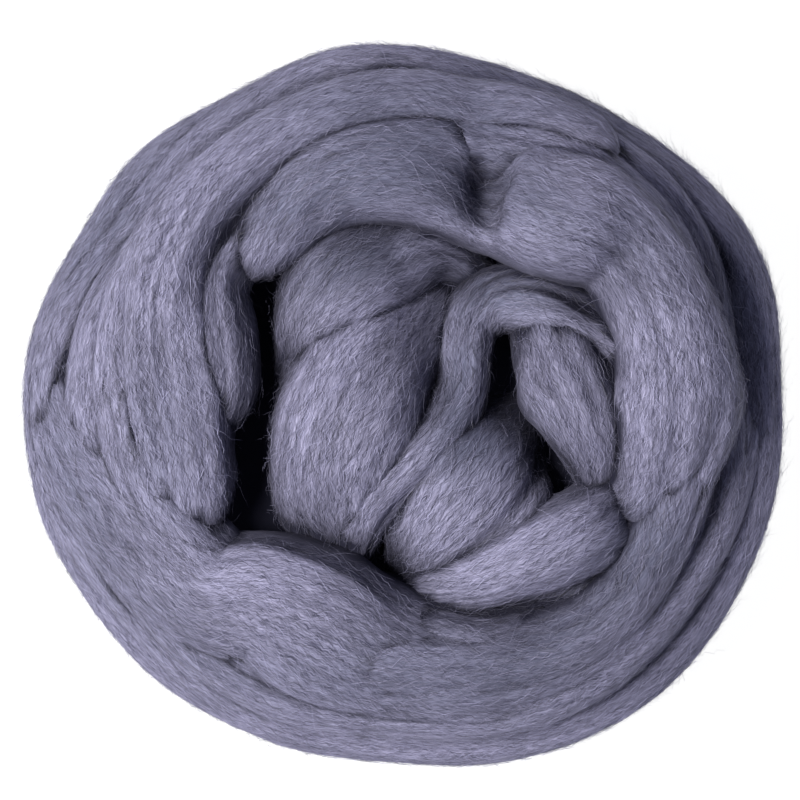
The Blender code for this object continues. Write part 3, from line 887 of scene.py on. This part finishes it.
def add_openness(lay, tree):
    """Gives a lay its openness at every point, less in the grooves between its bundles; it sets how
    much painted shade the lay's colour gets.
    """
    count, sides = lay["rings"].shape[:2]
    some_rings = np.unique(np.append(np.arange(0, count, OPEN_RING_STRIDE), count - 1))
    some_sides = np.arange(0, sides, SIDE_STRIDE)
    coarse = np.ix_(some_rings, some_sides)
    points = lay["rings"][coarse].reshape(-1, 3)
    found = openness(points, lay["normals"][coarse].reshape(-1, 3), tree)
    found = found.reshape(len(some_rings), len(some_sides), 1)
    rings = np.interp(np.arange(count), some_rings, np.arange(len(some_rings)))
    ring, side = np.meshgrid(rings, np.arange(sides) / SIDE_STRIDE, indexing="ij")
    lay["open"] = read_grid(found, ring, side) * lay["painted_groove_light"][..., None]


def core_rings():
    """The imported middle: rings of the outline, drawn in or out to the profile."""
    bearing = 2 * math.pi * np.arange(CORE_SIDES) / CORE_SIDES
    outline = outline_radius(bearing)[:, None] * np.column_stack([np.cos(bearing), np.sin(bearing)])
    rings = []
    for share, height in CORE_PROFILE:
        level = np.full((CORE_SIDES, 1), height)
        rings.append(np.hstack([share * outline, level]))
    return np.array(rings)


def new_mesh(name, points, quads, maps, material):
    """An object of quads, with UV maps given at the corners of each face."""
    mesh = bpy.data.meshes.new(name)
    mesh.vertices.add(len(points))
    mesh.vertices.foreach_set("co", (points * MM).astype(np.float32).ravel())
    mesh.loops.add(quads.size)
    mesh.loops.foreach_set("vertex_index", quads.astype(np.int32).ravel())
    mesh.polygons.add(len(quads))
    mesh.polygons.foreach_set("loop_start", np.arange(0, quads.size, 4, dtype=np.int32))
    mesh.polygons.foreach_set("use_smooth", np.ones(len(quads), bool))
    mesh.update(calc_edges=True)
    for map_name, values in maps.items():
        layer = mesh.uv_layers.new(name=map_name)
        layer.uv.foreach_set("vector", values.astype(np.float32).ravel())
    mesh.materials.append(material)
    made = bpy.data.objects.new(name, mesh)
    bpy.context.scene.collection.objects.link(made)
    return made


def lay_object(lay, material):
    """The mesh of one lay, with its fibre map, its bake map, its openness, and its slate dye and
    painted shade.
    """
    rings = lay["rings"]
    count, sides = rings.shape[:2]
    u = np.column_stack([lay["u"], lay["u"][:, :1]])
    spacing = lay["v"][:, -1:] - lay["v"][:, -2:-1]
    v = np.column_stack([lay["v"], lay["v"][:, -1:] + spacing])
    ring = np.arange(count - 1)[:, None]
    side = np.arange(sides)[None, :]
    corners = [(ring, side), (ring + 1, side), (ring + 1, side + 1), (ring, side + 1)]
    fibre = np.stack([np.stack([u[c], v[c]], -1) for c in corners], axis=2).reshape(-1, 2)
    bake = (fibre - fibre.min(0)) / (fibre.max(0) - fibre.min(0))
    maps = {"fibre_map": fibre * FIBRE_MAP_SCALE, "OFBake": bake}
    made = new_mesh(lay["name"], rings.reshape(-1, 3), loft_faces(count, sides), maps, material)
    for name in ("open", "slate_and_shade"):
        values = made.data.attributes.new(name, "FLOAT", "POINT")
        values.data.foreach_set("value", lay[name].astype(np.float32).ravel())
    return made


def new_material(name, surface):
    """A material whose shader has the given surface."""
    made = bpy.data.materials.new(name)
    made.use_nodes = True
    shader = made.node_tree.nodes["Principled BSDF"]
    for socket, value in surface.items():
        shader.inputs[socket].default_value = value
    return made


def curled_place(nodes, links):
    """The fibre map, pushed sideways to and fro so that the streaks on it are crimped."""
    place = nodes.new("ShaderNodeUVMap")
    place.uv_map = "fibre_map"
    swing = nodes.new("ShaderNodeTexNoise")
    swing.noise_dimensions = "2D"
    swing.inputs["Scale"].default_value = CURL_SCALE
    swing.inputs["Detail"].default_value = CURL_DETAIL
    links.new(place.outputs["UV"], swing.inputs["Vector"])
    push = nodes.new("ShaderNodeVectorMath")
    push.operation = "MULTIPLY_ADD"
    push.inputs[1].default_value = (CURL_REACH, CURL_REACH, 0.0)
    links.new(swing.outputs["Color"], push.inputs[0])
    links.new(place.outputs["UV"], push.inputs[2])
    return push.outputs["Vector"]


def streak_noise(nodes, links, place, streak):
    """Noise drawn out along the fibre map, for one row of the streaks."""
    stretch = nodes.new("ShaderNodeMapping")
    stretch.inputs["Scale"].default_value = (streak["along"], streak["across"], 1.0)
    links.new(place, stretch.inputs["Vector"])
    noise = nodes.new("ShaderNodeTexNoise")
    noise.noise_dimensions = "2D"
    noise.inputs["Scale"].default_value = 1.0
    noise.inputs["Detail"].default_value = STREAK_DETAIL
    noise.inputs["Distortion"].default_value = streak["distortion"]
    links.new(stretch.outputs["Vector"], noise.inputs["Vector"])
    return noise.outputs["Fac"]


def all_streaks(nodes, links):
    """The sum of all the streaks, each by its weight."""
    place = curled_place(nodes, links)
    total = None
    for row in STREAKS:
        streak = dict(zip(STREAK_COLUMNS, row))
        part = nodes.new("ShaderNodeMath")
        part.operation = "MULTIPLY_ADD"
        part.inputs[1].default_value = streak["weight"]
        part.inputs[2].default_value = 0.0
        links.new(streak_noise(nodes, links, place, streak), part.inputs[0])
        if total is not None:
            links.new(total, part.inputs[2])
        total = part.outputs[0]
    return total


def attribute(nodes, name):
    """One of the values that a lay's mesh carries at its points."""
    made = nodes.new("ShaderNodeAttribute")
    made.attribute_name = name
    return made.outputs["Fac"]


def ranged(nodes, links, value, low, high):
    """A factor from 0 to 1 as the value goes from low to high."""
    made = nodes.new("ShaderNodeMapRange")
    made.inputs["From Min"].default_value = low
    made.inputs["From Max"].default_value = high
    links.new(value, made.inputs["Value"])
    return made.outputs["Result"]


def mixed(nodes, links, factor, low, high):
    """A colour from low to high as the factor goes from 0 to 1."""
    mix = nodes.new("ShaderNodeMix")
    mix.data_type = "RGBA"
    for colour, socket in ((low, mix.inputs[6]), (high, mix.inputs[7])):
        if isinstance(colour, tuple):
            socket.default_value = colour
        else:
            links.new(colour, socket)
    links.new(factor, mix.inputs[0])
    return mix.outputs[2]


def wool_material():
    """Combed wool: streaks along the fibre map in colour and in relief, under a soft sheen,
    darkened by slate dye and by painted shade.
    """
    made = new_material("combed_wool_lays", WOOL_SURFACE)
    nodes = made.node_tree.nodes
    links = made.node_tree.links
    shader = nodes["Principled BSDF"]
    total = all_streaks(nodes, links)
    # The pale wool darkens towards slate where the dye is slate and where slate is painted shade.
    pale = mixed(nodes, links, attribute(nodes, "slate_and_shade"), PALE_FIBRE, SLATE_AND_SHADED_FIBRE)
    paleness = ranged(nodes, links, total, STREAK_LOW, STREAK_HIGH)
    streaked = mixed(nodes, links, paleness, DARK_FIBRE, pale)
    # Painted shade: the colour falls to the crevice shade where the wool is less open.
    light = ranged(nodes, links, attribute(nodes, "open"), DARK_OPENNESS, BRIGHT_OPENNESS)
    links.new(mixed(nodes, links, light, CREVICE_PAINTED_SHADE, streaked), shader.inputs["Base Color"])
    bump = nodes.new("ShaderNodeBump")
    bump.inputs["Strength"].default_value = STREAK_RELIEF
    bump.inputs["Distance"].default_value = STREAK_RELIEF_HEIGHT
    links.new(total, bump.inputs["Height"])
    links.new(bump.outputs["Normal"], shader.inputs["Normal"])
    return made


def fibre_material():
    """Loose fibres, each of its own shade with painted crevice shade in it, read from the fibre's
    place on its bake map.
    """
    made = new_material("combed_wool_fibres", FIBRE_SURFACE)
    nodes = made.node_tree.nodes
    links = made.node_tree.links
    place = nodes.new("ShaderNodeUVMap")
    place.uv_map = "OFBake"
    split = nodes.new("ShaderNodeSeparateXYZ")
    links.new(place.outputs["UV"], split.inputs["Vector"])
    ramp = nodes.new("ShaderNodeValToRGB")
    ramp.color_ramp.elements[0].color = DARKEST_SHADE
    ramp.color_ramp.elements[1].color = PALEST_SHADE
    links.new(split.outputs["X"], ramp.inputs["Fac"])
    links.new(ramp.outputs["Color"], nodes["Principled BSDF"].inputs["Base Color"])
    return made


def fibre_weights(lay, kind):
    """How likely a fibre is to start at each cell of a lay's grid."""
    rings = lay["rings"]
    along = np.linalg.norm(np.diff(rings, axis=0), axis=2)
    around = np.linalg.norm(np.roll(rings, -1, axis=1) - rings, axis=2)[:-1]
    area = along * around * np.clip(FACE_STEEPNESS * (lay["rise"] - FACE_START), 0.0, 1.0)
    if kind["place"] == "fringe":
        bearing = np.arctan2(rings[:-1, :, 1], rings[:-1, :, 0])
        level = np.hypot(rings[:-1, :, 0], rings[:-1, :, 1])
        return area * (level > FRINGE_START * outline_radius(bearing))
    return area * np.interp(rings[:-1, :, 2], FIBRE_HEIGHTS, FIBRE_SHARES)


def fibre_starts(lays, kind, count, rng):
    """Random places on the outer faces of the lays, as (lay, ring, side), by their area."""
    cells = [fibre_weights(lay, kind).ravel() for lay in lays]
    weights = np.concatenate(cells)
    picked = rng.choice(len(weights), count, p=weights / weights.sum())
    first = np.concatenate([[0], np.cumsum([len(c) for c in cells])])
    owner = np.searchsorted(first, picked, side="right") - 1
    inside = picked - first[owner]
    sides = np.array([lay["rings"].shape[1] for lay in lays])[owner]
    ring = inside // sides + rng.random(count)
    side = inside % sides + rng.random(count)
    return owner, ring, side


def fibre_curls(kind, count, rng):
    """The places along and across the lay and the heights off it of each fibre's points."""
    part = np.linspace(-0.5, 0.5, kind["points"])[None, :]
    each = (count, 1)
    length = rng.uniform(*kind["length"], each)
    slope = rng.normal(0.0, kind["spread"], each)
    bend = rng.normal(0.0, kind["spread"], each)
    along = part * length
    waves = length / (CRIMP_LENGTH * rng.uniform(*CRIMP_LENGTH_RANGE, each))
    crimp = kind["crimp"] * rng.uniform(*CRIMP_RANGE, each)
    phase = rng.uniform(0, 2 * math.pi, (count, 2))
    turn = 2 * math.pi * part * waves
    across = along * (slope + bend * part) + crimp * np.sin(phase[:, :1] + turn)
    arch = kind["arch"] * rng.random(each) ** 2 * np.cos(math.pi * part) ** ARCH_FLATNESS
    ripple = RIPPLE * crimp * (1.0 + np.sin(phase[:, 1:] + turn))
    free_end = kind["loose"] * np.abs(rng.normal(0.0, 1.0, each)) * length * (part + 0.5) ** 2
    lift = kind["lift"] * rng.random(each) + arch + ripple + free_end
    return along, across, lift


def laid_fibres(lays, starts, curls):
    """The fibres' points and normals on the lays, and the openness and the slate dye and painted
    shade where they lie.
    """
    owner, ring, side = starts
    along, across, lift = curls
    points = np.zeros(along.shape + (3,))
    normals = np.zeros(points.shape)
    opened = np.zeros(len(points))
    slate_and_shade = np.zeros(len(points))
    for index, lay in enumerate(lays):
        mine = np.nonzero(owner == index)[0]
        if not len(mine):
            continue
        rings = lay["rings"]
        here = ring[mine].astype(int)
        there = np.mod(side[mine].astype(int), rings.shape[1])
        beside = (there + 1) % rings.shape[1]
        ring_gap = np.linalg.norm(rings[here + 1, there] - rings[here, there], axis=1)
        side_gap = np.linalg.norm(rings[here, beside] - rings[here, there], axis=1)
        r = ring[mine][:, None] + along[mine] / (ring_gap + RING_GAP)[:, None]
        q = side[mine][:, None] + across[mine] / (side_gap + SIDE_GAP)[:, None]
        points[mine] = read_grid(rings, r, q)
        normals[mine] = unit(read_grid(lay["normals"], r, q))
        opened[mine] = read_grid(lay["open"], r, q).mean(axis=(1, 2))
        slate_and_shade[mine] = read_grid(lay["slate_and_shade"][..., None], r, q).mean(axis=(1, 2))
    return above_floor(points + lift[..., None] * normals), normals, opened, slate_and_shade


def in_sight(points, normals, tree):
    """Which fibres no wool hides, either outward from the ball or upward."""
    middle = points.shape[1] // 2
    starts = points[:, middle] + SIGHT_START * normals[:, middle]
    upward = Vector((0.0, 0.0, 1.0))
    seen = np.zeros(len(points), bool)
    for index, (place, way) in enumerate(zip(starts, outward(starts))):
        start = Vector(place)
        if tree.ray_cast(start, Vector(way), SIGHT_OUTWARD)[0] is None:
            seen[index] = True
        elif tree.ray_cast(start, upward, SIGHT_UPWARD)[0] is None:
            seen[index] = True
    return seen


def fibre_shades(kind, opened, slate_and_shade, rng):
    """How pale each fibre is: darker with painted shade in a crevice, and where slate stands for
    dye and painted shade.
    """
    share = (opened - DARK_OPENNESS) / (BRIGHT_OPENNESS - DARK_OPENNESS)
    lit = DARKEST + (1.0 - DARKEST) * np.clip(share, 0.0, 1.0)
    lit += (1.0 - lit) * kind["unshaded"]
    lit *= 1.0 - SLATE_AND_SHADE_DARKENING * slate_and_shade
    return np.clip(lit * rng.uniform(*SHADE_RANGE, len(opened)), *SHADE_LIMITS)


def fibre_strips(lays, tree, kind, rng):
    """The two edges of each fibre of one layer, and the shade of each fibre."""
    count = int(kind["count"] * OVERSAMPLE)
    starts = fibre_starts(lays, kind, count, rng)
    points, normals, opened, slate_and_shade = laid_fibres(lays, starts, fibre_curls(kind, count, rng))
    kept = np.nonzero(in_sight(points, normals, tree))[0][: kind["count"]]
    points = points[kept]
    normals = normals[kept]
    flat = unit(np.cross(unit(np.gradient(points, axis=1)), normals))
    roll = rng.normal(0.0, ROLL, (len(kept), 1, 1))
    across = unit(flat * np.cos(roll) + normals * np.sin(roll))
    part = np.linspace(-0.5, 0.5, kind["points"])
    taper = np.clip(1.0 - np.abs(2 * part) ** TAPER_POWER, TIP_WIDTH, 1.0)[None, :, None]
    edge = 0.5 * kind["width"] * rng.uniform(*WIDTH_RANGE, (len(kept), 1, 1)) * taper * across
    strips = above_floor(np.stack([points - edge, points + edge], axis=2))
    return strips, fibre_shades(kind, opened[kept], slate_and_shade[kept], rng)


def fibre_object(kind, strips, shade, material):
    """The mesh of one layer of fibres, each a strip that lies by its shade on the bake map."""
    count, steps = strips.shape[:2]
    first = 2 * steps * np.arange(count)[:, None] + 2 * np.arange(steps - 1)[None, :]
    quads = np.stack([first, first + 1, first + 3, first + 2], axis=-1).reshape(-1, 4)
    part = np.linspace(*BAKE_ENDS, steps)[None, :]
    grid = (count, steps - 1)
    low = np.broadcast_to(part[:, :-1], grid)
    high = np.broadcast_to(part[:, 1:], grid)
    left = np.broadcast_to(shade[:, None] - BAKE_HALF_WIDTH, grid)
    right = np.broadcast_to(shade[:, None] + BAKE_HALF_WIDTH, grid)
    corners = [(left, low), (right, low), (right, high), (left, high)]
    bake = np.stack([np.stack(c, -1) for c in corners], axis=2).reshape(-1, 2)
    return new_mesh(kind["name"], strips.reshape(-1, 3), quads, {"OFBake": bake}, material)


def make_pieces():
    """The lays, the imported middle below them, and the layers of fibres over them."""
    rng = np.random.default_rng(SEED)
    lays = [swept_lay("winding", winding_stations(WINDING_STEP), WINDING_SIDES, rng)]
    for name, rows in LAYS.items():
        lays.append(swept_lay(name, lay_stations(rows, LAY_STEP), LAY_SIDES, rng))
    merge_lays(lays)
    tree = rings_tree([lay["rings"] for lay in lays])
    for lay in lays:
        add_openness(lay, tree)
    wool = wool_material()
    pieces = [lay_object(lay, wool) for lay in lays]
    # The packed middle carries no openness, so its colour is the painted crevice shade all over.
    rings = core_rings()
    faces = loft_faces(*rings.shape[:2])
    pieces.append(new_mesh("packed_middle", rings.reshape(-1, 3), faces, {}, wool))
    fibre_look = fibre_material()
    for row in FIBRES:
        kind = dict(zip(FIBRE_COLUMNS, row))
        strips, shade = fibre_strips(lays, tree, kind, rng)
        pieces.append(fibre_object(kind, strips, shade, fibre_look))
    return pieces


def add_floor():
    """A wide pale floor below the nest."""
    bpy.ops.mesh.primitive_plane_add(size=FLOOR_SIZE, location=(0.0, 0.0, 0.0))
    floor = bpy.context.object
    floor.name = "studio_floor"
    floor.data.materials.append(new_material("studio_white", FLOOR_SURFACE))


def add_lights():
    """A soft key light from the left, and a dim blue sky for the shadows."""
    light = bpy.data.lights.new("key", "AREA")
    light.shape = "DISK"
    light.size = KEY_SIZE
    light.energy = KEY_POWER
    light.color = KEY_COLOUR
    made = bpy.data.objects.new("key", light)
    bpy.context.scene.collection.objects.link(made)
    made.location = KEY_PLACE
    made.rotation_mode = "QUATERNION"
    made.rotation_quaternion = (Vector(LIT_POINT) - made.location).to_track_quat("-Z", "Y")
    world = bpy.data.worlds.new("studio")
    world.use_nodes = True
    sky = world.node_tree.nodes["Background"]
    sky.inputs["Color"].default_value = SKY_COLOUR
    sky.inputs["Strength"].default_value = SKY_STRENGTH
    bpy.context.scene.world = world


def add_camera():
    """The camera over the nest, with everything in focus."""
    camera = bpy.data.cameras.new("camera")
    camera.sensor_width = SENSOR_WIDTH
    camera.lens = SENSOR_WIDTH * (CAMERA_PLACE[2] - FRAME_LEVEL) / FRAME_WIDTH
    camera.dof.use_dof = False
    made = bpy.data.objects.new("camera", camera)
    bpy.context.scene.collection.objects.link(made)
    made.location = CAMERA_PLACE
    bpy.context.scene.camera = made


def main():
    """Builds the nest's looks, ties every piece to the part, and sets up the studio."""
    for piece in make_pieces():
        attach(piece, "root")
        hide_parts(NODE)
    add_floor()
    add_lights()
    add_camera()
    bpy.context.scene.view_settings.view_transform = "Standard"


main()
